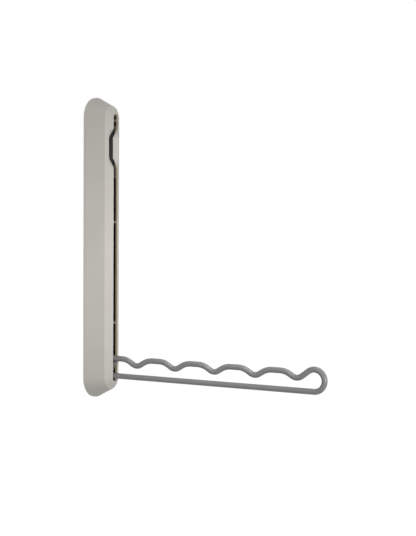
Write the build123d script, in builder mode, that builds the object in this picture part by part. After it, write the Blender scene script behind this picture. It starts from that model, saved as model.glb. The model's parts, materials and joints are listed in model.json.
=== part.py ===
from build123d import *
from math import asin, atan, atan2, cos, degrees, hypot, radians, sin, tan
import os

# Retractable clothes rail: a slim housing on a wall, and a notched wire rail that swings
# up into its slot. Millimetres, +Z up, X across, the wall is the plane Y = 0 and the front
# faces -Y. The origin is the middle of the two wall screws. Depths are measured from the
# wall towards the front, heights from the origin.

# Housing form
back_radius = 23.0        # half the width at the wall
rim_radius = 13.5         # half the width where the sides meet the front
crest_rise = 5.1          # from there forward to the front at the slot
crest_past_bar = 0.3      # the front at the slot, past the centre line of the folded bar
slot_radius = 3.7         # half the width of the slot
slot_overrun = 0.8        # the slot's round ends, past those of the housing
tip_room = 5.7            # from the tip of the folded rail to the housing's upper end centre
bar_above_end = 1.3       # lower wire of the open rail, above the lower end centre
crest_inset = 0.5         # the front is made to here inside the slot, then cut away
lip_bevel = 0.8
bevel_angle = 45.0
rim_round = 1.2
cover_wall = 2.2
cut_past = 1.0            # how far a cut runs past the face it leaves by
pick_band = 0.05          # edges this near a level are picked with it

# Plate on the wall
plate_depth = 2.7         # its rim, seen as a band against the wall
plate_floor = 1.3
plate_rim = 2.4

# Wire rail
wire_radius = 3.0
rail_reach = 275.0        # tip of the rail from the wall
rod_above_bar = 18.8
notch_pitch = 47.2
notch_depth = 6.5
notch_slope = 31.0        # flanks of a notch, from the level
notch_radius = 9.0        # centre line of the wire in the bottom of a notch
shoulder_radius = 21.0    # and where it turns down into a notch
first_notch_depth = 53.7  # first notch from the wall
last_notch_room = 18.0    # from the last notch to the centre of the loop, at least
loop_radius = 11.0        # centre line of the loop at the tip
butt_gap = 0.4            # between the two ends of the wire

# Hinge
pivot_rise = 1.6          # the pivot, above the middle between rod and bar
pin_radius = 2.5
running_gap = 0.05        # between the pin and what turns on it
seat_gap = 0.05           # round a part that is held still
side_gap = 0.1            # between the wire and the flanges beside it
wrap_shift = 2.0          # centre of the wire's inner bend, in front of the pivot
hub_radius = 6.8
back_hub_radius = 9.3
flange_width = 2.9
heel_reach = 9.7
heel_low = 3.0
heel_high = 6.5
nose_reach = 12.2         # the web under the rod, narrowing towards the bar
throat_reach = 7.4
throat_drop = 4.0
root_reach = 5.2
bush_radius = 3.9
bush_length = 5.0
bush_flange_radius = 5.5
bush_flange = 1.0
washer_space = 1.0        # between a bush flange and the cheek
washer_gap = 0.15
spring_thick = 0.4
pin_head = 1.5
pin_head_radius = 4.0
head_chamfer = 0.5
pin_tail = 1.0            # past the groove
groove_land = 0.3         # between the cheek and the groove
groove_width = 0.8
groove_radius = 2.0
clip_thick = 0.6
clip_radius = 4.4
clip_edge = 0.35          # metal left round each eye of the clip
clip_eye_angle = 36.0     # of the eyes, below the level

# Steel strip
strip_thick = 1.5
strip_top_inset = 41.0    # from the housing's upper end centre
strip_overrun = 2.0       # past the lower end centre
channel_height = 3.2
cheek_radius = 5.0
cheek_base = 9.0
screw_pitch = 160.0       # wall screws, one above the other
screw_hole_radius = 2.25
screw_sink_radius = 3.6
sink_angle = 90.0

# Finger scoops and their inserts
scoop_inset = 30.9        # middle of the scoops, from the housing's upper end centre
scoop_depth = 7.0         # from the front at the slot back to its floor
scoop_length = 21.8       # of its floor
scoop_flare = 1.41        # how far each side opens for each millimetre forward
scoop_top_flare = 1.44
scoop_low_flare = 1.76
scoop_corner = 2.2
insert_thick = 1.2
insert_deep = 16.9        # its back edge, from the front at the slot
insert_sunk = 3.1         # its front edge at both ends, from the front at the slot
insert_rise = 0.2         # its front edge in the dip, past the floor of the scoops
insert_dip_low = 15.1     # lower end of the dip in its front edge, from the scoops' middle
insert_dip_high = 14.4    # and the upper end
insert_slant_low = 7.0    # height of the slanted edge at each end of the dip
insert_slant_high = 5.7
insert_tail = 30.8        # lower end, from the scoops' middle
insert_head = 21.4        # upper end
seat_wall = 1.6

# Ribs inside the cover
rib_count = 3
rib_pitch = 109.0
rib_inset = 1.8           # highest rib, from the housing's upper end centre
rib_thick = 1.8
rib_deep = 13.3           # its back edge, from the front at the slot

# Screws, rivets and pads
boss_x = 13.0
boss_inset = 27.0         # from the housing's end centres
boss_radius = 3.2
pillar_radius = 3.4
cover_screw_radius = 1.4
cover_screw_length = 9.0
cover_screw_head_radius = 2.6
cover_screw_head = 1.2
socket_radius = 1.1
socket_depth = 0.7
rivet_x = 5.8
rivet_low_inset = 41.0    # from the strip's lower end
rivet_high_inset = 6.0    # from its upper end
rivet_radius = 1.2
rivet_head_radius = 1.9
rivet_head = 0.9
rivet_sink = 0.6
rivet_draft = 25.0
window_length = 20.0
window_width = 9.0
pad_gap = 0.2             # between a stop pad and the heel that meets it
pad_base = 0.8
pad_corner = 1.0
wire_room_gap = 0.4       # beside the wire where it dips into a stop pad
bumper_gap = 0.3
bumper_thick = 1.1
bumper_length = 10.0
bumper_side = 1.0         # past the slot on each side
wall_pad_overrun = 11.0   # from the housing's end centre
wall_pad_length = 20.0
wall_pad_width = 8.0
wall_pad_thick = 0.8
wall_pad_border = 1.4

# Places worked out from the sizes
strip_front = plate_floor + strip_thick
bar_below_pivot = rod_above_bar / 2 + pivot_rise
folded_rod_back = strip_front + bumper_thick + bumper_gap
folded_bar_depth = folded_rod_back + wire_radius + rod_above_bar
pivot_depth = folded_bar_depth - bar_below_pivot
crest_depth = folded_bar_depth + crest_past_bar
rim_depth = crest_depth - crest_rise
scoop_floor_depth = crest_depth - scoop_depth
insert_back_depth = crest_depth - insert_deep
insert_end_depth = crest_depth - insert_sunk
insert_front_depth = scoop_floor_depth + insert_rise
rib_back_depth = crest_depth - rib_deep
folded_length = rail_reach - pivot_depth + bar_below_pivot
end_centre = (bar_above_end + folded_length + tip_room) / 2
slot_end = end_centre + slot_overrun
bar_height = bar_above_end - end_centre
pivot_height = bar_height + bar_below_pivot
rod_height = bar_height + rod_above_bar
side_draft = degrees(atan((back_radius - rim_radius) / (rim_depth - plate_depth)))
crest_radius = slot_radius - crest_inset
front_draft = degrees(atan((rim_radius - crest_radius) / (crest_depth - rim_depth)))
strip_top = end_centre - strip_top_inset
strip_bottom = -end_centre - strip_overrun
strip_length = strip_top - strip_bottom
strip_middle = (strip_top + strip_bottom) / 2
rivet_heights = (strip_bottom + rivet_low_inset, strip_top - rivet_high_inset)
rivet_places = [(x, z) for x in (-rivet_x, rivet_x) for z in rivet_heights]
rib_top = end_centre - rib_inset
wall_pad_height = end_centre + wall_pad_overrun
scoop_height = end_centre - scoop_inset
boss_pitch = end_centre - boss_inset
web_half = wire_radius + side_gap
hub_half = web_half + flange_width
bush_end = hub_half + bush_flange
cheek_inner = bush_end + washer_space
cheek_outer = cheek_inner + strip_thick
wrap_radius = rod_above_bar / 2
wrap_depth = pivot_depth + wrap_shift
wrap_height = bar_height + wrap_radius
loop_depth = rail_reach - wire_radius - loop_radius
stop_depth = pivot_depth - heel_reach
insert_outer = slot_radius + insert_thick
seat_half = insert_outer + seat_gap
groove_start = cheek_outer + groove_land

# Notches: straight flanks to a sharp corner, before the bends are rounded
slope = radians(notch_slope)
vee_depth = notch_depth + notch_radius * (1 / cos(slope) - 1)
vee_half = vee_depth / tan(slope)
notch_count = 1 + int((loop_depth - first_notch_depth - last_notch_room) / notch_pitch)
notch_places = [first_notch_depth + notch_pitch * i for i in range(notch_count)]

# Side view seen from -X: local x is the depth from the wall, local y is the height
SIDE = Plane(origin=(0, 0, 0), x_dir=(0, -1, 0), z_dir=(-1, 0, 0))
PIVOT_SIDE = Plane(origin=(0, -pivot_depth, pivot_height), x_dir=(0, -1, 0), z_dir=(-1, 0, 0))


def front_plane(depth):
    """Plane parallel to the wall at this depth: local x is X, local y is the height."""
    return Plane.XZ.offset(depth)


def long_round(depth, radius, amount, draft=0.0, end=end_centre, mode=Mode.ADD):
    """Long form with round ends that stands on the plane at this depth and draws in."""
    with BuildSketch(front_plane(depth)) as outline:
        SlotCenterToCenter(2 * end, 2 * radius, rotation=90)
    extrude(outline.sketch, amount=amount, taper=draft, mode=mode)


def scoop_section(depth, grow):
    """Rounded rectangle of the finger scoop at this depth, made larger all round by grow."""
    forward = depth - scoop_floor_depth
    half_width = slot_radius + scoop_flare * forward + grow
    low = -scoop_length / 2 - scoop_low_flare * forward - grow
    high = scoop_length / 2 + scoop_top_flare * forward + grow
    with BuildSketch(front_plane(depth)) as section:
        with Locations((0, scoop_height + (low + high) / 2)):
            RectangleRounded(2 * half_width, high - low, scoop_corner)
    return section.sketch


def insert_outline(start_x, back, grow):
    """Side outline of an insert at this X and back to this depth, made larger by grow."""
    front = insert_front_depth + grow
    end = insert_end_depth + grow
    tail = scoop_height - insert_tail - grow
    low = scoop_height - insert_dip_low
    high = scoop_height + insert_dip_high
    head = scoop_height + insert_head + grow
    with BuildSketch(Plane.YZ.offset(start_x)) as outline:
        with BuildLine():
            Polyline(
                (-back, tail),
                (-end, tail),
                (-end, low - insert_slant_low),
                (-front, low),
                (-front, high),
                (-end, high + insert_slant_high),
                (-end, head),
                (-back, head),
                close=True,
            )
        make_face()
    return outline.sketch


def cross_pin(start_x, end_x, radius, mode=Mode.ADD):
    """Cylinder about the pivot from one X to the other."""
    with BuildSketch(Plane.YZ.offset(start_x)) as disc:
        with Locations((-pivot_depth, pivot_height)):
            Circle(radius)
    extrude(disc.sketch, amount=end_x - start_x, mode=mode)


# Outer form of the cover with nothing cut in it
with BuildPart() as envelope:
    long_round(plate_depth, back_radius, rim_depth - plate_depth, side_draft)
    long_round(rim_depth, rim_radius, crest_depth - rim_depth, front_draft)
    rim_level = (-rim_depth - pick_band, -rim_depth + pick_band)
    rim_edges = envelope.edges().filter_by_position(Axis.Y, *rim_level)
    fillet(rim_edges, radius=rim_round)

# Walls under the finger scoops and beside the inserts
with BuildPart() as scoop_walls:
    wall_start = scoop_floor_depth - cover_wall
    loft([scoop_section(wall_start, 2 * cover_wall), scoop_section(crest_depth, 2 * cover_wall)])
    seat_length = insert_head + insert_tail + 2 * seat_wall
    with BuildSketch(front_plane(insert_back_depth)) as seat_outline:
        with Locations((0, scoop_height + (insert_head - insert_tail) / 2)):
            Rectangle(2 * (seat_half + seat_wall), seat_length)
    extrude(seat_outline.sketch, amount=crest_depth - insert_back_depth)
    add(envelope.part, mode=Mode.INTERSECT)

# Cross ribs and screw bosses that stand inside the cover
with BuildPart() as inner_walls:
    with BuildSketch(front_plane(rib_back_depth)) as rib_outline:
        with Locations([(0, rib_top - rib_pitch * i) for i in range(rib_count)]):
            Rectangle(2 * back_radius, rib_thick)
    extrude(rib_outline.sketch, amount=crest_depth - rib_back_depth)
    with BuildSketch(front_plane(plate_depth)) as boss_outline:
        with GridLocations(2 * boss_x, boss_pitch, 2, 3):
            Circle(boss_radius)
    extrude(boss_outline.sketch, amount=crest_depth - plate_depth)
    add(envelope.part, mode=Mode.INTERSECT)

# Cover: the visible shell
with BuildPart() as housing_cover:
    add(envelope.part)
    back_face = housing_cover.faces().sort_by(Axis.Y)[-1]
    offset(amount=-cover_wall, openings=back_face)
    add(scoop_walls.part)
    add(inner_walls.part)
    scoop_ends = [scoop_section(scoop_floor_depth, 0), scoop_section(crest_depth + cut_past, 0)]
    loft(scoop_ends, mode=Mode.SUBTRACT)
    long_round(plate_depth, slot_radius, crest_depth, end=slot_end, mode=Mode.SUBTRACT)
    bevel_start = crest_depth - lip_bevel
    long_round(bevel_start, slot_radius, 2 * lip_bevel, -bevel_angle, end=slot_end, mode=Mode.SUBTRACT)
    seat_cut = insert_outline(0, insert_back_depth - cut_past, seat_gap)
    extrude(seat_cut, amount=seat_half, both=True, mode=Mode.SUBTRACT)
    with BuildSketch(front_plane(plate_depth)) as pilot_holes:
        with GridLocations(2 * boss_x, boss_pitch, 2, 3):
            Circle(cover_screw_radius + seat_gap)
    extrude(pilot_holes.sketch, amount=cover_screw_length, mode=Mode.SUBTRACT)

# Plate: moulded tray that closes the back
with BuildPart() as wall_plate:
    long_round(0, back_radius, plate_depth)
    long_round(plate_floor, back_radius - plate_rim, plate_depth, mode=Mode.SUBTRACT)
    with BuildSketch(front_plane(0)) as pillars:
        with GridLocations(2 * boss_x, boss_pitch, 2, 3):
            Circle(pillar_radius)
    extrude(pillars.sketch, amount=plate_depth)
    floor_length = wall_pad_length + 2 * wall_pad_border
    floor_width = wall_pad_width + 2 * wall_pad_border
    with BuildSketch(front_plane(0)) as pad_floors:
        with GridLocations(0, 2 * wall_pad_height, 1, 2):
            RectangleRounded(floor_length, floor_width, pad_corner + wall_pad_border)
    extrude(pad_floors.sketch, amount=plate_floor + wall_pad_thick)
    with BuildSketch(front_plane(0)) as pad_pockets:
        with GridLocations(0, 2 * wall_pad_height, 1, 2):
            RectangleRounded(wall_pad_length, wall_pad_width, pad_corner)
    extrude(pad_pockets.sketch, amount=wall_pad_thick, mode=Mode.SUBTRACT)
    with BuildSketch(front_plane(0)) as through_holes:
        with GridLocations(0, screw_pitch, 1, 2):
            Circle(screw_hole_radius)
        with GridLocations(2 * boss_x, boss_pitch, 2, 3):
            Circle(cover_screw_radius + seat_gap)
        with Locations(rivet_places):
            Circle(rivet_radius + seat_gap)
        with Locations((0, pivot_height + loop_depth - pivot_depth)):
            SlotOverall(window_length, window_width, rotation=90)
    extrude(through_holes.sketch, amount=plate_depth, mode=Mode.SUBTRACT)
    with BuildSketch(front_plane(0)) as head_pockets:
        with GridLocations(2 * boss_x, boss_pitch, 2, 3):
            Circle(cover_screw_head_radius + seat_gap)
    extrude(head_pockets.sketch, amount=cover_screw_head + seat_gap, mode=Mode.SUBTRACT)
    with BuildSketch(front_plane(0)) as rivet_pockets:
        with Locations(rivet_places):
            Circle(rivet_head_radius + seat_gap)
    extrude(rivet_pockets.sketch, amount=rivet_sink, mode=Mode.SUBTRACT)

# Steel strip: channel with two cheeks for the hinge pin
with BuildPart() as hinge_strip:
    with BuildSketch(front_plane(plate_floor)) as strip_outline:
        with Locations((0, strip_middle)):
            Rectangle(2 * cheek_outer, strip_length)
    extrude(strip_outline.sketch, amount=strip_thick + channel_height)
    with BuildSketch(SIDE) as cheek_outline:
        with BuildLine():
            cheek_side = Polyline(
                (plate_floor, pivot_height - cheek_base),
                (strip_front, pivot_height - cheek_base),
                (pivot_depth, pivot_height - cheek_radius),
                (pivot_depth, pivot_height + cheek_radius),
                (strip_front, pivot_height + cheek_base),
                (plate_floor, pivot_height + cheek_base),
                close=True,
            )
        make_face()
        with Locations((pivot_depth, pivot_height)):
            Circle(cheek_radius)
    extrude(cheek_outline.sketch, amount=cheek_outer, both=True)
    fillet(hinge_strip.edges().filter_by(Axis.Z).sort_by(Axis.Y)[-2:], radius=strip_thick)
    with BuildSketch(front_plane(strip_front)) as channel_room:
        with Locations((0, strip_middle)):
            Rectangle(2 * cheek_inner, strip_length)
    extrude(channel_room.sketch, amount=crest_depth, mode=Mode.SUBTRACT)
    cross_pin(-cheek_outer, cheek_outer, pin_radius + running_gap, mode=Mode.SUBTRACT)
    with Locations(front_plane(strip_front)):
        with GridLocations(0, screw_pitch, 1, 2):
            CounterSinkHole(screw_hole_radius, screw_sink_radius, strip_thick, sink_angle)
        with Locations(rivet_places):
            Hole(rivet_radius + seat_gap, depth=strip_thick)

with BuildPart() as strip_rivets:
    with BuildSketch(front_plane(0)) as rivet_back:
        with Locations(rivet_places):
            Circle(rivet_head_radius)
    extrude(rivet_back.sketch, amount=rivet_sink)
    with BuildSketch(front_plane(0)) as rivet_shanks:
        with Locations(rivet_places):
            Circle(rivet_radius)
    extrude(rivet_shanks.sketch, amount=strip_front + rivet_head)
    with BuildSketch(front_plane(strip_front)) as rivet_front:
        with Locations(rivet_places):
            Circle(rivet_head_radius)
    extrude(rivet_front.sketch, amount=rivet_head, taper=rivet_draft)

with BuildPart() as cover_screws:
    with BuildSketch(front_plane(0)) as screw_heads:
        with GridLocations(2 * boss_x, boss_pitch, 2, 3):
            Circle(cover_screw_head_radius)
    extrude(screw_heads.sketch, amount=cover_screw_head)
    with BuildSketch(front_plane(cover_screw_head)) as screw_shanks:
        with GridLocations(2 * boss_x, boss_pitch, 2, 3):
            Circle(cover_screw_radius)
    extrude(screw_shanks.sketch, amount=cover_screw_length)
    with BuildSketch(front_plane(0)) as screw_sockets:
        with GridLocations(2 * boss_x, boss_pitch, 2, 3):
            RegularPolygon(socket_radius, 6)
    extrude(screw_sockets.sketch, amount=socket_depth, mode=Mode.SUBTRACT)

# Pin with a head on one end and a clip in a groove on the other
with BuildPart() as hinge_pin:
    cross_pin(-cheek_outer - seat_gap, groove_start + groove_width + pin_tail, pin_radius)
    cross_pin(-cheek_outer - seat_gap - pin_head, -cheek_outer - seat_gap, pin_head_radius)
    head_edge = hinge_pin.edges().filter_by(GeomType.CIRCLE).sort_by(Axis.X)[0]
    chamfer(head_edge, length=head_chamfer)
    with BuildSketch(Plane.YZ.offset(groove_start)) as groove_ring:
        with Locations((-pivot_depth, pivot_height)):
            Circle(pin_radius + cut_past)
            Circle(groove_radius, mode=Mode.SUBTRACT)
    extrude(groove_ring.sketch, amount=groove_width, mode=Mode.SUBTRACT)

with BuildPart() as pin_clip:
    clip_start = groove_start + (groove_width - clip_thick) / 2
    eye_reach = (clip_radius + groove_radius) / 2
    eye_radius = (clip_radius - groove_radius) / 2 - clip_edge
    eye_out = eye_reach * cos(radians(clip_eye_angle))
    eye_drop = eye_reach * sin(radians(clip_eye_angle))
    with BuildSketch(Plane.YZ.offset(clip_start)) as clip_outline:
        with Locations((-pivot_depth, pivot_height)):
            Circle(clip_radius)
            Circle(groove_radius + seat_gap, mode=Mode.SUBTRACT)
        with Locations((-pivot_depth, pivot_height + clip_radius)):
            Rectangle(2 * groove_radius, 2 * clip_radius, mode=Mode.SUBTRACT)
        with Locations([(side * eye_out - pivot_depth, pivot_height - eye_drop) for side in (-1, 1)]):
            Circle(eye_radius, mode=Mode.SUBTRACT)
    extrude(clip_outline.sketch, amount=clip_thick)

# Flanged bushes that the block turns on
bushes = {}
for name, side in (("left_pivot_bush", -1), ("right_pivot_bush", 1)):
    with BuildPart() as bush:
        cross_pin(side * (hub_half - bush_length), side * hub_half, bush_radius - seat_gap)
        cross_pin(side * hub_half, side * bush_end, bush_flange_radius)
        cross_pin(side * (hub_half - bush_length), side * bush_end, pin_radius + running_gap, mode=Mode.SUBTRACT)
    bushes[name] = bush

with BuildPart() as left_thrust_washer:
    cross_pin(-bush_end - washer_gap, -cheek_inner + washer_gap, bush_flange_radius)
    cross_pin(-bush_end, -cheek_inner, pin_radius + washer_gap, mode=Mode.SUBTRACT)

# Dished spring washer that gives the hinge its friction
with BuildPart() as right_spring_washer:
    near = bush_end + washer_gap
    far = cheek_inner - washer_gap
    with BuildSketch(Plane(origin=(0, -pivot_depth, pivot_height), x_dir=(1, 0, 0), z_dir=(0, -1, 0))) as dish:
        with BuildLine():
            Polyline(
                (near, pin_radius + washer_gap),
                (near + spring_thick, pin_radius + washer_gap),
                (far, bush_flange_radius),
                (far - spring_thick, bush_flange_radius),
                close=True,
            )
        make_face()
    revolve(dish.sketch, axis=Axis((0, -pivot_depth, pivot_height), (1, 0, 0)))

# Soft stops on the strip: the block's heels meet them at the two ends of the swing
stop_pads = {}
for name, low in (("down_stop_pad", -heel_high), ("fold_stop_pad", heel_low)):
    with BuildPart() as pad:
        with BuildSketch(front_plane(strip_front)) as pad_outline:
            with Locations((0, pivot_height + low + (heel_high - heel_low) / 2)):
                Rectangle(2 * hub_half, heel_high - heel_low)
        extrude(pad_outline.sketch, amount=stop_depth - pad_gap - strip_front)
        with BuildSketch(front_plane(strip_front + pad_base)) as wire_room:
            with Locations((0, pivot_height + low + (heel_high - heel_low) / 2)):
                Rectangle(2 * (web_half + wire_room_gap), heel_high)
        extrude(wire_room.sketch, amount=stop_depth, mode=Mode.SUBTRACT)
    stop_pads[name] = pad

# Soft bumpers behind the folded rail, each halfway between two of its notches
crown_heights = [pivot_height - pivot_depth + depth + notch_pitch / 2 for depth in notch_places]
bumpers = {}
for name, height in (("lower_rail_bumper", crown_heights[0]), ("upper_rail_bumper", crown_heights[-3])):
    with BuildPart() as bumper:
        with BuildSketch(front_plane(strip_front)) as bumper_outline:
            with Locations((0, height)):
                RectangleRounded(2 * (slot_radius + bumper_side), bumper_length, pad_corner)
        extrude(bumper_outline.sketch, amount=bumper_thick)
    bumpers[name] = bumper

wall_pads = {}
for name, height in (("lower_wall_pad", -wall_pad_height), ("upper_wall_pad", wall_pad_height)):
    with BuildPart() as wall_pad:
        with BuildSketch(front_plane(0)) as wall_pad_outline:
            with Locations((0, height)):
                RectangleRounded(wall_pad_length - 2 * seat_gap, wall_pad_width - 2 * seat_gap, pad_corner)
        extrude(wall_pad_outline.sketch, amount=wall_pad_thick - seat_gap)
    wall_pads[name] = wall_pad

# Dark inserts that line the slot where fingers reach in
inserts = {}
for name, side in (("left_grip_insert", -1), ("right_grip_insert", 1)):
    with BuildPart() as insert:
        extrude(insert_outline(side * slot_radius, insert_back_depth, 0), amount=side * insert_thick)
    inserts[name] = insert

# Wire rail: from its upper end out over the notches, round the loop at the tip, back along
# the bar and round the hinge block to the upper end again
loop_height = bar_height + loop_radius
vee_height = rod_height - vee_depth
across = loop_depth - notch_places[-1]
rise = loop_height - vee_height
loop_slope = atan2(rise, across) + asin(loop_radius / hypot(across, rise))
loop_touch = (loop_depth - loop_radius * sin(loop_slope), loop_height + loop_radius * cos(loop_slope))
loop_turn = 180 + degrees(loop_slope)
butt_angle = degrees(butt_gap / 2 / wrap_radius)

rod_corners = [(wrap_depth, rod_height)]
for depth in notch_places:
    rod_corners.append((depth - vee_half, rod_height))
    rod_corners.append((depth, vee_height))
    rod_corners.append((depth + vee_half, rod_height))
rod_corners[-1] = loop_touch
rod_bends = [shoulder_radius, notch_radius, shoulder_radius] * notch_count

with BuildPart() as wire_rail:
    with BuildLine(SIDE) as rail_line:
        CenterArc((wrap_depth, wrap_height), wrap_radius, 180 - butt_angle, butt_angle - 90)
        FilletPolyline(*rod_corners, radius=rod_bends[:-1])
        CenterArc((loop_depth, loop_height), loop_radius, loop_turn - 90, -loop_turn)
        Line((loop_depth, bar_height), (wrap_depth, bar_height))
        CenterArc((wrap_depth, wrap_height), wrap_radius, -90, butt_angle - 90)
    with BuildSketch(Plane(origin=rail_line.line @ 0, z_dir=rail_line.line % 0)):
        Circle(wire_radius)
    sweep()

# Hinge block: a web that fills the wire's inner bend, with a nose under the rod, and a
# flange on each side that traps the wire and carries the two heels
wrap_inner = wrap_radius - wire_radius - seat_gap
web_top = rod_height - wire_radius - seat_gap
web_bottom = bar_height + wire_radius + seat_gap

with BuildPart() as hinge_block:
    with BuildSketch(SIDE) as web_outline:
        with BuildLine():
            Polyline(
                (wrap_depth, web_top),
                (pivot_depth + nose_reach, web_top),
                (pivot_depth + throat_reach, pivot_height - throat_drop),
                (pivot_depth + root_reach, web_bottom),
                (wrap_depth, web_bottom),
            )
            CenterArc((wrap_depth, wrap_height), wrap_inner, 90, 180)
        make_face()
    extrude(web_outline.sketch, amount=web_half, both=True)
    with BuildSketch(PIVOT_SIDE) as flange_outline:
        Circle(hub_radius)
        with BuildSketch(mode=Mode.ADD) as back_hub:
            Circle(back_hub_radius)
            with Locations((back_hub_radius, 0)):
                Rectangle(2 * back_hub_radius, 2 * back_hub_radius, mode=Mode.SUBTRACT)
            with Locations((0, -back_hub_radius - heel_low)):
                Rectangle(2 * back_hub_radius, 2 * back_hub_radius, mode=Mode.SUBTRACT)
        with Locations((-heel_reach / 2, -(heel_low + heel_high) / 2)):
            Rectangle(heel_reach, heel_high - heel_low)
        with Locations(((heel_low + heel_high) / 2, heel_reach / 2)):
            Rectangle(heel_high - heel_low, heel_reach)
    for side in (-1, 1):
        flange_face = flange_outline.sketch.moved(Location((side * (web_half + flange_width / 2), 0, 0)))
        extrude(flange_face, amount=flange_width / 2, both=True)
    cross_pin(-hub_half, hub_half, bush_radius, mode=Mode.SUBTRACT)


nodes = {
    "housing_cover": housing_cover,
    "wall_plate": wall_plate,
    "hinge_strip": hinge_strip,
    "strip_rivets": strip_rivets,
    "cover_screws": cover_screws,
    "hinge_pin": hinge_pin,
    "pin_clip": pin_clip,
    "left_thrust_washer": left_thrust_washer,
    "right_spring_washer": right_spring_washer,
    **stop_pads,
    **bumpers,
    **wall_pads,
    **inserts,
    "wire_rail": wire_rail,
    "hinge_block": hinge_block,
    **bushes,
}

os.makedirs("parts", exist_ok=True)
for name, node in nodes.items():
    node.part.label = name
    export_step(node.part, f"parts/{name}.step")
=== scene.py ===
# %% [markdown]
# # A retractable clothes rail
#
# A slim moulded housing is screwed to a wall or to the side of a cupboard. A wire rail with
# notches for hangers swings out of its slot and folds up into it again. The solids come from
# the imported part, which is loaded here as a fixed frame. This notebook gives them their
# finishes, and then sets up the floor, the light and the camera.

# %% Load the frame
import json
import math

import bmesh
import bpy
from mathutils import Matrix, Vector

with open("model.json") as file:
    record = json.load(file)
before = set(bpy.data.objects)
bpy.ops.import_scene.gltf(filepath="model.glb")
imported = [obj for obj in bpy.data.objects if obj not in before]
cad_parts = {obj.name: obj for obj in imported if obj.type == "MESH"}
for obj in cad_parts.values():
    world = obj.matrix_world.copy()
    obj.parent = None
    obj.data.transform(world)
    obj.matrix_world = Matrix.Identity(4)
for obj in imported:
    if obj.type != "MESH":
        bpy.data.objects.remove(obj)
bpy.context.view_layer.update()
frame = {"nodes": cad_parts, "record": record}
nodes = frame["nodes"]
MM = 0.001

# %% [markdown]
# ## Camera
#
# The photograph was taken from the left and from a little above the middle, with the rail
# coming towards the right. The camera stands where lines that run away from it close up as
# they do there. Blender measures the lens against the picture's longer side, which is 536
# pixels. A new camera looks straight down, so a quarter turn lifts it to the horizon first.

# %% Camera
IMAGE_LONG_SIDE = 536
FOCAL_PIXELS = 1213.6
SENSOR_MM = 36.0
CAMERA_PLACE = Vector((-1.0888, -0.7523, 0.0299))
CAMERA_TURN = math.radians(-60.652)  # about the vertical, away from looking along +Y
CAMERA_TILT = math.radians(2.22)  # downwards
CAMERA_ROLL = math.radians(0.336)
QUARTER_TURN = math.radians(90)
NEAREST, FARTHEST = 0.01, 50  # metres that the camera sees between

camera_data = bpy.data.cameras.new("camera")
camera_data.sensor_width = SENSOR_MM
camera_data.lens = FOCAL_PIXELS * SENSOR_MM / IMAGE_LONG_SIDE
camera_data.clip_start = NEAREST
camera_data.clip_end = FARTHEST
camera = bpy.data.objects.new("camera", camera_data)
bpy.context.scene.collection.objects.link(camera)
camera.matrix_world = (
    Matrix.Translation(CAMERA_PLACE)
    @ Matrix.Rotation(CAMERA_TURN, 4, "Z")
    @ Matrix.Rotation(QUARTER_TURN - CAMERA_TILT, 4, "X")
    @ Matrix.Rotation(CAMERA_ROLL, 4, "Z")
)
bpy.context.scene.camera = camera
print("lens in mm:", round(camera_data.lens, 2))

# %% [markdown]
# ## Small helpers for materials
#
# Every colour below is an sRGB hex value, as a colour picker shows it. Blender's sockets take
# linear light, so one function turns the hex into that. Another adds one node, sets it up and
# links it, which keeps each material short enough to read from top to bottom. The others start
# a material, give a colour ramp its two end tones, and work out a pattern's scale from its real
# size.


# %% Helpers for materials
def linear(hex_colour):
    """Turn sRGB hex such as "c8c4be" to linear by the standard curve, with an alpha of 1."""
    channels = [int(hex_colour[i : i + 2], 16) / 255 for i in (0, 2, 4)]
    return [c / 12.92 if c <= 0.04045 else ((c + 0.055) / 1.055) ** 2.4 for c in channels] + [1]


def add_node(tree, kind, inputs=None, **settings):
    """Add a node, give it its settings, and set or link each of its named inputs."""
    node = tree.nodes.new(kind)
    for name, value in settings.items():
        setattr(node, name, value)
    for name, value in (inputs or {}).items():
        if isinstance(value, bpy.types.NodeSocket):
            tree.links.new(value, node.inputs[name])
        else:
            node.inputs[name].default_value = value
    return node


def new_material(name):
    """Start an empty node tree, with the object's own coordinates in metres."""
    material = bpy.data.materials.new(name)
    material.use_nodes = True
    tree = material.node_tree
    tree.nodes.clear()
    place = add_node(tree, "ShaderNodeTexCoord").outputs["Object"]
    return material, tree, place


def set_tones(ramp, low, high):
    """Give a ramp that still has two stops its colours, from sRGB hex."""
    for stop, tone in zip(ramp.color_ramp.elements, (low, high)):
        stop.color = linear(tone)


def per_mm(size):
    """Texture scale that makes one feature this many millimetres wide."""
    return 1 / (size * MM)


print("scale of a 1 mm pattern:", round(per_mm(1)))


# %% [markdown]
# ## Satin ABS, with painted shade in the slot
#
# The cover is moulded ABS, sprayed satin warm grey. Its slot walls are coloured darker with depth,
# through tan into near black: painted shade for the deep slot, which is why the slot looks so deep. The
# shade could be painted on by hand, but it is worked out from place alone, with the sizes of the cover's
# cross section, so that it follows the form everywhere.

# %% Sizes of the cover's outer form
END_CENTRE = 139.0 * MM
BACK_RADIUS = 23.0 * MM
RIM_RADIUS = 13.5 * MM
CREST_RADIUS = 3.2 * MM
BACK_DEPTH = 2.7 * MM
RIM_DEPTH = 21.2 * MM
CREST_DEPTH = 26.3 * MM
print("outer form:", 2 * BACK_RADIUS, "wide,", 2 * (END_CENTRE + BACK_RADIUS), "tall")

# %% [markdown]
# Seen from the front, `reach` is the distance from the slot's middle line. All four quarters of
# the cover are folded onto one, the straight part is shifted away, and what is negative then
# counts as nothing, also all depth. A ramp turns `reach` into the depth of the outer form there.
# It has a stop for each corner of the cross section: beside the slot, where the sides meet the
# front, and at the back. `below` is how far a point lies behind that form.

# %% Depth below the outer form
NO_DEPTH = 1.0  # metres, far more than any depth on the part

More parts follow.
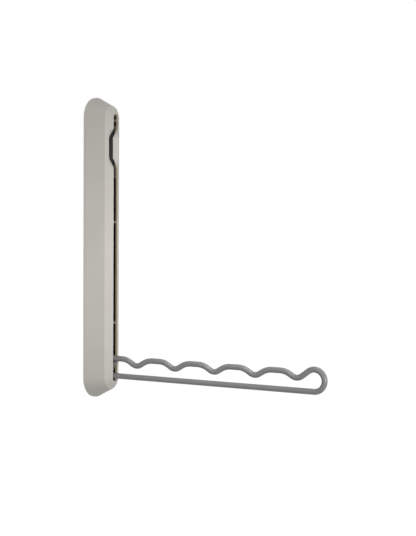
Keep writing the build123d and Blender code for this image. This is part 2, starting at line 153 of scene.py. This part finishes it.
cover_with_slot_shade, tree, place = new_material("abs_satin_warm_grey_painted_slot_shade")
axes = add_node(tree, "ShaderNodeSeparateXYZ", {"Vector": place}).outputs
folded = add_node(tree, "ShaderNodeVectorMath", {0: place}, operation="ABSOLUTE").outputs[0]
shifted = add_node(
    tree, "ShaderNodeVectorMath", {0: folded, 1: (0, NO_DEPTH, END_CENTRE)}, operation="SUBTRACT"
).outputs[0]
sideways = add_node(
    tree, "ShaderNodeVectorMath", {0: shifted, 1: (0, 0, 0)}, operation="MAXIMUM"
).outputs[0]
reach = add_node(
    tree, "ShaderNodeVectorMath", {0: sideways}, operation="LENGTH"
).outputs["Value"]
share = add_node(
    tree, "ShaderNodeMath", {0: reach, 1: BACK_RADIUS}, operation="DIVIDE"
).outputs[0]
form = add_node(tree, "ShaderNodeValToRGB", {"Fac": share})
stops = form.color_ramp.elements
stops[0].position = CREST_RADIUS / BACK_RADIUS
stops.new(RIM_RADIUS / BACK_RADIUS)
for stop, depth in zip(stops, (CREST_DEPTH, RIM_DEPTH, BACK_DEPTH)):
    level = depth / CREST_DEPTH
    stop.color = (level, level, level, 1)
below = add_node(
    tree, "ShaderNodeMath", {0: form.outputs["Color"], 1: CREST_DEPTH, 2: axes["Y"]},
    operation="MULTIPLY_ADD",
).outputs[0]
print("ramp stops:", [round(stop.position, 3) for stop in stops])

# %% [markdown]
# Two things lie deeper and still catch the light, so the painted shade is kept off them. The finger
# scoops are wide open, so everything at their height and off the slot's own walls gets an allowance that
# makes it count as outside. The three cross ribs stand out at the sides of the slot and get a smaller
# one.

# %% Allowances for the finger scoops and the ribs
SCOOP_MIDDLE = 106.5 * MM
SCOOP_HALF = 24.0 * MM
SCOOP_ALLOWANCE = 9.0 * MM
SLOT_HALF = 3.8 * MM
RIB_HEIGHTS = (137.2 * MM, 28.2 * MM, -80.8 * MM)
RIB_HALF = 1.0 * MM
RIB_ALLOWANCE = 4.6 * MM

off_middle = add_node(tree, "ShaderNodeSeparateXYZ", {"Vector": folded}).outputs["X"]
off_slot = add_node(
    tree, "ShaderNodeMath", {0: off_middle, 1: SLOT_HALF}, operation="GREATER_THAN"
).outputs[0]
at_scoops = add_node(
    tree, "ShaderNodeMath", {0: axes["Z"], 1: SCOOP_MIDDLE, 2: SCOOP_HALF}, operation="COMPARE"
).outputs[0]
scooped = add_node(
    tree, "ShaderNodeMath", {0: off_slot, 1: at_scoops}, operation="MULTIPLY"
).outputs[0]
# Depth under the outer form, less the allowances; the painted shade in the slot grows with it.
shade_depth = add_node(
    tree, "ShaderNodeMath", {0: scooped, 1: -SCOOP_ALLOWANCE, 2: below}, operation="MULTIPLY_ADD"
).outputs[0]
for height in RIB_HEIGHTS:
    at_rib = add_node(
        tree, "ShaderNodeMath", {0: axes["Z"], 1: height, 2: RIB_HALF}, operation="COMPARE"
    ).outputs[0]
    shade_depth = add_node(
        tree, "ShaderNodeMath", {0: at_rib, 1: -RIB_ALLOWANCE, 2: shade_depth}, operation="MULTIPLY_ADD"
    ).outputs[0]
print("scoops from", round(SCOOP_MIDDLE - SCOOP_HALF, 4), "to", round(SCOOP_MIDDLE + SCOOP_HALF, 4), "m")

# %% [markdown]
# The painted shade deepens over the first 5 mm or so of the slot's walls. The mould was finely spark
# eroded and the paint follows it, so the shine is satin and slightly uneven. The real grain is about
# 0.15 mm and too fine to show at this size, so it is drawn at 0.7 mm and very shallow. A wide soft noise
# moves the colour a little, as spraying by hand does.

# %% Spray tone, painted slot shade and grain
GRAIN_MM = 0.7
GRAIN_DEPTH_MM = 0.02
SPRAY_MM = 60
SPRAY_STOPS = (0.35, 0.65)  # the noise hardly leaves this range
# Painted shade: between these depths into the slot the colour darkens through tan to near black.
SHADE_START = 0.12 * MM
SHADE_END = 4.7 * MM
SLOT_SHADE_BETWEEN = {0.42: "cbb898", 0.75: "9d8c72"}  # share of the fade, and the tone there

shade_share = add_node(
    tree, "ShaderNodeMapRange", {"Value": shade_depth, "From Min": SHADE_START, "From Max": SHADE_END}
).outputs["Result"]
# The painted shade's tones, from the spray grey at the lip to near black deep in the slot.
slot_shade = add_node(tree, "ShaderNodeValToRGB", {"Fac": shade_share})
set_tones(slot_shade, "a69a80", "0e0b09")
for position, tone in SLOT_SHADE_BETWEEN.items():
    slot_shade.color_ramp.elements.new(position).color = linear(tone)
cloud = add_node(
    tree, "ShaderNodeTexNoise", {"Vector": place, "Scale": per_mm(SPRAY_MM), "Detail": 2.0}
)
spray = add_node(tree, "ShaderNodeValToRGB", {"Fac": cloud.outputs["Fac"]})
set_tones(spray, "c0bcb5", "c4c0b9")
for stop, position in zip(spray.color_ramp.elements, SPRAY_STOPS):
    stop.position = position
in_shade = add_node(
    tree, "ShaderNodeMath", {0: shade_depth, 1: SHADE_START}, operation="GREATER_THAN"
).outputs[0]
tone = add_node(
    tree, "ShaderNodeMix", {"Factor": in_shade, "A": spray.outputs["Color"], "B": slot_shade.outputs["Color"]},
    data_type="RGBA",
)
grain = add_node(
    tree, "ShaderNodeTexNoise", {"Vector": place, "Scale": per_mm(GRAIN_MM), "Detail": 3.0}
)
shine = add_node(
    tree, "ShaderNodeMapRange",
    {"Value": grain.outputs["Fac"], "From Min": 0.3, "From Max": 0.7, "To Min": 0.46, "To Max": 0.54},
)
relief = add_node(
    tree, "ShaderNodeBump",
    {"Height": grain.outputs["Fac"], "Strength": 0.12, "Distance": GRAIN_DEPTH_MM * MM},
)
shader = add_node(
    tree, "ShaderNodeBsdfPrincipled",
    {"Base Color": tone.outputs["Result"], "Roughness": shine.outputs["Result"],
     "IOR": 1.5, "Normal": relief.outputs["Normal"]},
)
add_node(tree, "ShaderNodeOutputMaterial", {"Surface": shader.outputs["BSDF"]})
print("made", cover_with_slot_shade.name)

# %% [markdown]
# ## Lightened ABS for the wall plate
#
# The wall plate is coloured a lighter grey than the cover: painted light, for the light that a white
# wall throws back onto its rim. Only its rim shows, as a narrow band between the cover and the wall. It
# has the cover's spark-eroded grain, and no painted slot shade.

# %% Lightened ABS for the wall plate, painted light
plate_wall_lit, tree, place = new_material("abs_grey_painted_wall_light")
flow = add_node(
    tree, "ShaderNodeTexNoise", {"Vector": place, "Scale": per_mm(SPRAY_MM), "Detail": 2.0}
)
tone = add_node(tree, "ShaderNodeValToRGB", {"Fac": flow.outputs["Fac"]})
# Painted light: these tones are lighter than the cover's, for the wall's light on the rim.
set_tones(tone, "dcd8cf", "e2ded5")
grain = add_node(
    tree, "ShaderNodeTexNoise", {"Vector": place, "Scale": per_mm(GRAIN_MM), "Detail": 3.0}
)
relief = add_node(
    tree, "ShaderNodeBump",
    {"Height": grain.outputs["Fac"], "Strength": 0.12, "Distance": GRAIN_DEPTH_MM * MM},
)
shader = add_node(
    tree, "ShaderNodeBsdfPrincipled",
    {"Base Color": tone.outputs["Color"], "Roughness": 0.5, "IOR": 1.54,
     "Normal": relief.outputs["Normal"]},
)
add_node(tree, "ShaderNodeOutputMaterial", {"Surface": shader.outputs["BSDF"]})
print("made", plate_wall_lit.name)

# %% [markdown]
# ## Coated steel wire
#
# The rail is round steel wire, bent cold and then powder coated in mid grey. Powder coat flows
# into a faint orange peel, here 1.6 mm from crest to crest, and has a satin shine. The shine
# alone would look like plastic, and the peel makes its edge a little uneven. A wider noise
# shades the grey, as a coat of uneven thickness does.

# %% Powder-coated steel wire
PEEL_MM = 1.6
PEEL_DEPTH_MM = 0.015
COAT_SHADE_MM = 25

wire_coat, tree, place = new_material("powder_coated_steel_wire_grey")
peel = add_node(
    tree, "ShaderNodeTexNoise", {"Vector": place, "Scale": per_mm(PEEL_MM), "Detail": 1.0}
)
relief = add_node(
    tree, "ShaderNodeBump",
    {"Height": peel.outputs["Fac"], "Strength": 0.15, "Distance": PEEL_DEPTH_MM * MM},
)
shade = add_node(
    tree, "ShaderNodeTexNoise", {"Vector": place, "Scale": per_mm(COAT_SHADE_MM), "Detail": 2.0}
)
tone = add_node(tree, "ShaderNodeValToRGB", {"Fac": shade.outputs["Fac"]})
set_tones(tone, "888687", "908e8f")
shader = add_node(
    tree, "ShaderNodeBsdfPrincipled",
    {"Base Color": tone.outputs["Color"], "Roughness": 0.34, "IOR": 1.5,
     "Normal": relief.outputs["Normal"]},
)
add_node(tree, "ShaderNodeOutputMaterial", {"Surface": shader.outputs["BSDF"]})
print("made", wire_coat.name)

# %% [markdown]
# ## Painted zinc casting
#
# The hinge block between the two wires is a small zinc casting, painted in the rail's grey but
# a little darker. The sand-fine skin of the casting shows through the paint, so one noise drives
# both the relief and the tone. It is drawn at 0.9 mm, coarser than the real skin, to show at all.

# %% Painted zinc casting
SKIN_MM = 0.9
SKIN_DEPTH_MM = 0.05

cast_zinc, tree, place = new_material("die_cast_zinc_painted_grey")
skin = add_node(
    tree, "ShaderNodeTexNoise", {"Vector": place, "Scale": per_mm(SKIN_MM), "Detail": 4.0}
)
relief = add_node(
    tree, "ShaderNodeBump",
    {"Height": skin.outputs["Fac"], "Strength": 0.25, "Distance": SKIN_DEPTH_MM * MM},
)
tone = add_node(tree, "ShaderNodeValToRGB", {"Fac": skin.outputs["Fac"]})
set_tones(tone, "585a5a", "626461")
shader = add_node(
    tree, "ShaderNodeBsdfPrincipled",
    {"Base Color": tone.outputs["Color"], "Roughness": 0.5, "IOR": 1.5,
     "Normal": relief.outputs["Normal"]},
)
add_node(tree, "ShaderNodeOutputMaterial", {"Surface": shader.outputs["BSDF"]})
print("made", cast_zinc.name)

# %% [markdown]
# ## Dark polypropylene
#
# The two liners beside the grip are moulded in dark grey polypropylene, matt and slightly waxy.
# Their eroded grain is drawn a little coarser than the cover's, so that they look softer.

# %% Dark polypropylene
LINER_GRAIN_MM = 0.8

pp_dark, tree, place = new_material("polypropylene_dark_grey")
grain = add_node(
    tree, "ShaderNodeTexNoise", {"Vector": place, "Scale": per_mm(LINER_GRAIN_MM), "Detail": 3.0}
)
relief = add_node(
    tree, "ShaderNodeBump",
    {"Height": grain.outputs["Fac"], "Strength": 0.2, "Distance": GRAIN_DEPTH_MM * MM},
)
tone = add_node(tree, "ShaderNodeValToRGB", {"Fac": grain.outputs["Fac"]})
set_tones(tone, "505050", "565655")
shader = add_node(
    tree, "ShaderNodeBsdfPrincipled",
    {"Base Color": tone.outputs["Color"], "Roughness": 0.55, "IOR": 1.49,
     "Normal": relief.outputs["Normal"]},
)
add_node(tree, "ShaderNodeOutputMaterial", {"Surface": shader.outputs["BSDF"]})
print("made", pp_dark.name)

# %% [markdown]
# ## Zinc-plated steel
#
# The pin and all the fixings are steel with a bright zinc plating. Zinc dulls in soft patches a
# few millimetres wide, which changes its shine more than its colour, so the same noise goes to
# both.

# %% Zinc-plated steel
PATCH_MM = 6

zinc_plate, tree, place = new_material("zinc_plated_steel")
patches = add_node(
    tree, "ShaderNodeTexNoise", {"Vector": place, "Scale": per_mm(PATCH_MM), "Detail": 4.0}
)
tone = add_node(tree, "ShaderNodeValToRGB", {"Fac": patches.outputs["Fac"]})
set_tones(tone, "a9adb0", "c3c6c8")
shine = add_node(
    tree, "ShaderNodeMapRange",
    {"Value": patches.outputs["Fac"], "From Min": 0.3, "From Max": 0.7, "To Min": 0.3, "To Max": 0.45},
)
shader = add_node(
    tree, "ShaderNodeBsdfPrincipled",
    {"Base Color": tone.outputs["Color"], "Metallic": 1.0, "Roughness": shine.outputs["Result"]},
)
add_node(tree, "ShaderNodeOutputMaterial", {"Surface": shader.outputs["BSDF"]})
print("made", zinc_plate.name)

# %% [markdown]
# ## Dark strip behind the slot
#
# The strip behind the slot is steel, coloured warm near black: painted shade that keeps the deep slot
# dark. Only the colour is patchy here, because a dark metal gives back too little light for its shine to
# matter.

# %% Dark strip behind the slot, painted shade
strip_slot_shade, tree, place = new_material("zinc_plated_steel_painted_slot_shade")
patches = add_node(
    tree, "ShaderNodeTexNoise", {"Vector": place, "Scale": per_mm(PATCH_MM), "Detail": 4.0}
)
tone = add_node(tree, "ShaderNodeValToRGB", {"Fac": patches.outputs["Fac"]})
# Painted shade: a warm near black, the dark of the deep slot.
set_tones(tone, "241e19", "2e2822")
shader = add_node(
    tree, "ShaderNodeBsdfPrincipled",
    {"Base Color": tone.outputs["Color"], "Metallic": 1.0, "Roughness": 0.45},
)
add_node(tree, "ShaderNodeOutputMaterial", {"Surface": shader.outputs["BSDF"]})
print("made", strip_slot_shade.name)

# %% [markdown]
# ## Natural nylon
#
# The bushes and the thrust washer are moulded in natural nylon, milky and a little glossy. They
# are hardly seen, so a soft cloud of two close tones is enough for the milkiness, and no light
# has to be followed through the plastic.

# %% Natural nylon
MILK_MM = 5

nylon, tree, place = new_material("nylon_natural_moulded")
cloud = add_node(
    tree, "ShaderNodeTexNoise", {"Vector": place, "Scale": per_mm(MILK_MM), "Detail": 2.0}
)
tone = add_node(tree, "ShaderNodeValToRGB", {"Fac": cloud.outputs["Fac"]})
set_tones(tone, "d9d5c8", "e2dfd4")
shader = add_node(
    tree, "ShaderNodeBsdfPrincipled",
    {"Base Color": tone.outputs["Color"], "Roughness": 0.35, "IOR": 1.53},
)
add_node(tree, "ShaderNodeOutputMaterial", {"Surface": shader.outputs["BSDF"]})
print("made", nylon.name)

# %% [markdown]
# ## Foam rubber
#
# The pads and bumpers are cut from black foam rubber with small open cells. Real holes would
# take far too many faces, so a pattern of cells is used. It gives the distance to the nearest
# of many scattered points, so each point sits at the bottom of a small pit, which reads as a
# cut cell.

# %% Black foam rubber
CELL_MM = 0.6
CELL_DEPTH_MM = 0.1

foam, tree, place = new_material("foam_rubber_black_cellular")
cells = add_node(tree, "ShaderNodeTexVoronoi", {"Vector": place, "Scale": per_mm(CELL_MM)})
relief = add_node(
    tree, "ShaderNodeBump",
    {"Height": cells.outputs["Distance"], "Strength": 0.5, "Distance": CELL_DEPTH_MM * MM},
)
tone = add_node(tree, "ShaderNodeValToRGB", {"Fac": cells.outputs["Distance"]})
set_tones(tone, "2a2a29", "1c1c1b")
shader = add_node(
    tree, "ShaderNodeBsdfPrincipled",
    {"Base Color": tone.outputs["Color"], "Roughness": 0.85, "Normal": relief.outputs["Normal"]},
)
add_node(tree, "ShaderNodeOutputMaterial", {"Surface": shader.outputs["BSDF"]})
print("made", foam.name)

# %% [markdown]
# ## Which piece has which finish
#
# The imported record names a material slot for each node. One finish stands for each slot, so a node
# takes its finish by way of its slot. Two nodes have their own: the wall plate, lightened as painted
# light, and the strip behind the slot, darkened as painted shade.

# %% Assign the finishes
finish_of_slot = {
    "cover_plastic": cover_with_slot_shade,
    "coated_wire": wire_coat,
    "cast_metal": cast_zinc,
    "dark_plastic": pp_dark,
    "plated_steel": zinc_plate,
    "nylon": nylon,
    "soft_pad": foam,
}
finish_of_node = {"wall_plate": plate_wall_lit, "hinge_strip": strip_slot_shade}
slot_of_node = {part["node"]: part["material_slot"] for part in frame["record"]["subparts"]}
for name, node in nodes.items():
    node.data.materials.clear()
    node.data.materials.append(finish_of_node.get(name) or finish_of_slot[slot_of_node[name]])
print("finished:", len(nodes), "nodes")

# %% [markdown]
# ## What is seen as white
#
# The background is pure white, but a white room would light the object too much. So the floor
# and the world look brighter than they shine. Light Path tells one kind of ray from another: the
# camera's rays, and those that metal and glass send on, get the white.


# %% Helper for rays that see white
def seen_rays(tree):
    """Give a socket that is 1 for camera, glossy and transmission rays, and 0 for others."""
    rays = add_node(tree, "ShaderNodeLightPath").outputs
    seen = rays["Is Camera Ray"]
    for kind in ("Is Glossy Ray", "Is Transmission Ray"):
        seen = add_node(tree, "ShaderNodeMath", {0: seen, 1: rays[kind]}, operation="MAXIMUM").outputs[0]
    return seen


# %% [markdown]
# ## Floor
#
# The rail hangs on a wall, well above a plain pale floor. The floor is white to the camera, as
# the photograph's background is, and still takes a soft shadow: its paint answers the light, and
# a glow that only those rays see lifts it to white.

# %% Floor
FLOOR_HEIGHT = -0.42
FLOOR_SIZE = 12.0
FLOOR_GLOW = 0.84

grid = bmesh.new()
bmesh.ops.create_grid(grid, x_segments=1, y_segments=1, size=FLOOR_SIZE / 2)
bmesh.ops.translate(grid, verts=grid.verts, vec=(0, 0, FLOOR_HEIGHT))
floor_mesh = bpy.data.meshes.new("floor")
grid.to_mesh(floor_mesh)
grid.free()
floor = bpy.data.objects.new("floor", floor_mesh)
bpy.context.scene.collection.objects.link(floor)

floor_white, tree, _ = new_material("painted_floor_white")
paint = add_node(tree, "ShaderNodeBsdfDiffuse", {"Color": linear("d2d2d2")})
lift = add_node(tree, "ShaderNodeMath", {0: seen_rays(tree), 1: FLOOR_GLOW}, operation="MULTIPLY")
glow = add_node(
    tree, "ShaderNodeEmission", {"Color": linear("ffffff"), "Strength": lift.outputs[0]}
)
shader = add_node(tree, "ShaderNodeAddShader", {0: paint.outputs[0], 1: glow.outputs[0]})
add_node(tree, "ShaderNodeOutputMaterial", {"Surface": shader.outputs[0]})
floor_mesh.materials.append(floor_white)
print("floor at", FLOOR_HEIGHT, "m")

# %% [markdown]
# ## World
#
# A dim world fills the shadows, about twice as strongly from the horizon as from straight above,
# as a room with a dark ceiling does. That keeps the round top of the housing from coming out too
# light. What the camera and reflections see of the world is plain white.

# %% World
HORIZON_STRENGTH = 0.44
ZENITH_STRENGTH = 0.2

world = bpy.data.worlds.new("studio")
world.use_nodes = True
bpy.context.scene.world = world
tree = world.node_tree
tree.nodes.clear()
towards = add_node(tree, "ShaderNodeTexCoord").outputs["Generated"]
height = add_node(tree, "ShaderNodeSeparateXYZ", {"Vector": towards}).outputs["Z"]
dome = add_node(
    tree, "ShaderNodeMapRange",
    {"Value": height, "To Min": HORIZON_STRENGTH, "To Max": ZENITH_STRENGTH},
)
fill = add_node(
    tree, "ShaderNodeBackground", {"Color": linear("ffffff"), "Strength": dome.outputs["Result"]}
)
white = add_node(tree, "ShaderNodeBackground", {"Color": linear("ffffff"), "Strength": 1.0})
both = add_node(
    tree, "ShaderNodeMixShader", {0: seen_rays(tree), 1: fill.outputs[0], 2: white.outputs[0]}
)
add_node(tree, "ShaderNodeOutputWorld", {"Surface": both.outputs[0]})
print("world strength", HORIZON_STRENGTH, "at the horizon and", ZENITH_STRENGTH, "above")

# %% [markdown]
# ## A helper for lamps
#
# Both lamps are square soft boxes with a honeycomb grid, which narrows the beam and softens its
# edge. A lamp that turns out P watts lights a white surface at distance d as a world of strength
# P / (pi d)^2 would. Blender keeps the power of a narrowed beam, which is stronger on its axis by
# tan(a) / (tan(a) - a), where a is half the spread. So the power follows from the level of light
# that is wanted at the place the lamp is aimed at.

# %% Helper for lamps
BEAM_EDGE = 0.55  # share of the level that a beam's soft edge lets through on the axis


def add_lamp(name, place, aim, size, half_spread, level):
    """Add a square lamp with a narrow beam that gives this level of light where it is aimed."""
    lamp = bpy.data.lights.new(name, "AREA")
    lamp.shape = "SQUARE"
    lamp.size = size
    lamp.spread = 2 * half_spread
    backwards = place - aim
    beam_gain = math.tan(half_spread) / (math.tan(half_spread) - half_spread)
    lamp.energy = level * (math.pi * backwards.length) ** 2 / beam_gain / BEAM_EDGE
    lamp_object = bpy.data.objects.new(name, lamp)
    lamp_object.location = place
    lamp_object.rotation_euler = backwards.to_track_quat("Z", "Y").to_euler()
    bpy.context.scene.collection.objects.link(lamp_object)
    print(name, round(lamp.energy, 3), "W at", [round(c, 2) for c in place])


# %% [markdown]
# ## Soft box
#
# One soft box gives the shapes their light. It stands in front of the rail, well to the left and
# almost level with the housing's middle, so that the narrow front comes out brightest, the long
# side nearly as bright, and both round ends darker. Its grid makes the housing brightest around
# its middle, with a soft fall towards both ends. Together with the world it gives a plain level
# of light, at which colours come out about as they are written.

# %% Soft box
LAMP_TURN = math.radians(-24.5)  # from straight in front towards the left
LAMP_RISE = math.radians(1.5)
LAMP_DISTANCE = 2.0
LAMP_SIZE = 0.3
LAMP_HALF_SPREAD = math.radians(9.5)
LAMP_AIM = Vector((0, -0.1, -0.012))
LAMP_LEVEL = 0.62  # share of a full white light; the world gives most of the rest

towards_lamp = Vector((
    math.sin(LAMP_TURN) * math.cos(LAMP_RISE),
    -math.cos(LAMP_TURN) * math.cos(LAMP_RISE),
    math.sin(LAMP_RISE),
))
lamp_place = LAMP_AIM + towards_lamp * LAMP_DISTANCE
add_lamp("soft_box", lamp_place, LAMP_AIM, LAMP_SIZE, LAMP_HALF_SPREAD, LAMP_LEVEL)

# %% [markdown]
# ## Top light
#
# A second, small lamp hangs above the rail on the camera's side. Its beam is narrow, so that
# little of it falls on the housing. It lights the wire's upper side, and lays a line of shine
# along the wire where it slopes down to the tip.

# %% Top light
TOP_PLACE = Vector((-0.56, -0.32, 1.2))
TOP_AIM = Vector((0, -0.155, -0.13))
TOP_SIZE = 0.25
TOP_HALF_SPREAD = math.radians(8)
TOP_LEVEL = 0.38  # share of a full white light

add_lamp("top_light", TOP_PLACE, TOP_AIM, TOP_SIZE, TOP_HALF_SPREAD, TOP_LEVEL)

# %% [markdown]
# ## Finish
#
# The picture keeps colours as they are written, so the view transform is Standard.

# %% View
bpy.context.scene.view_settings.view_transform = "Standard"
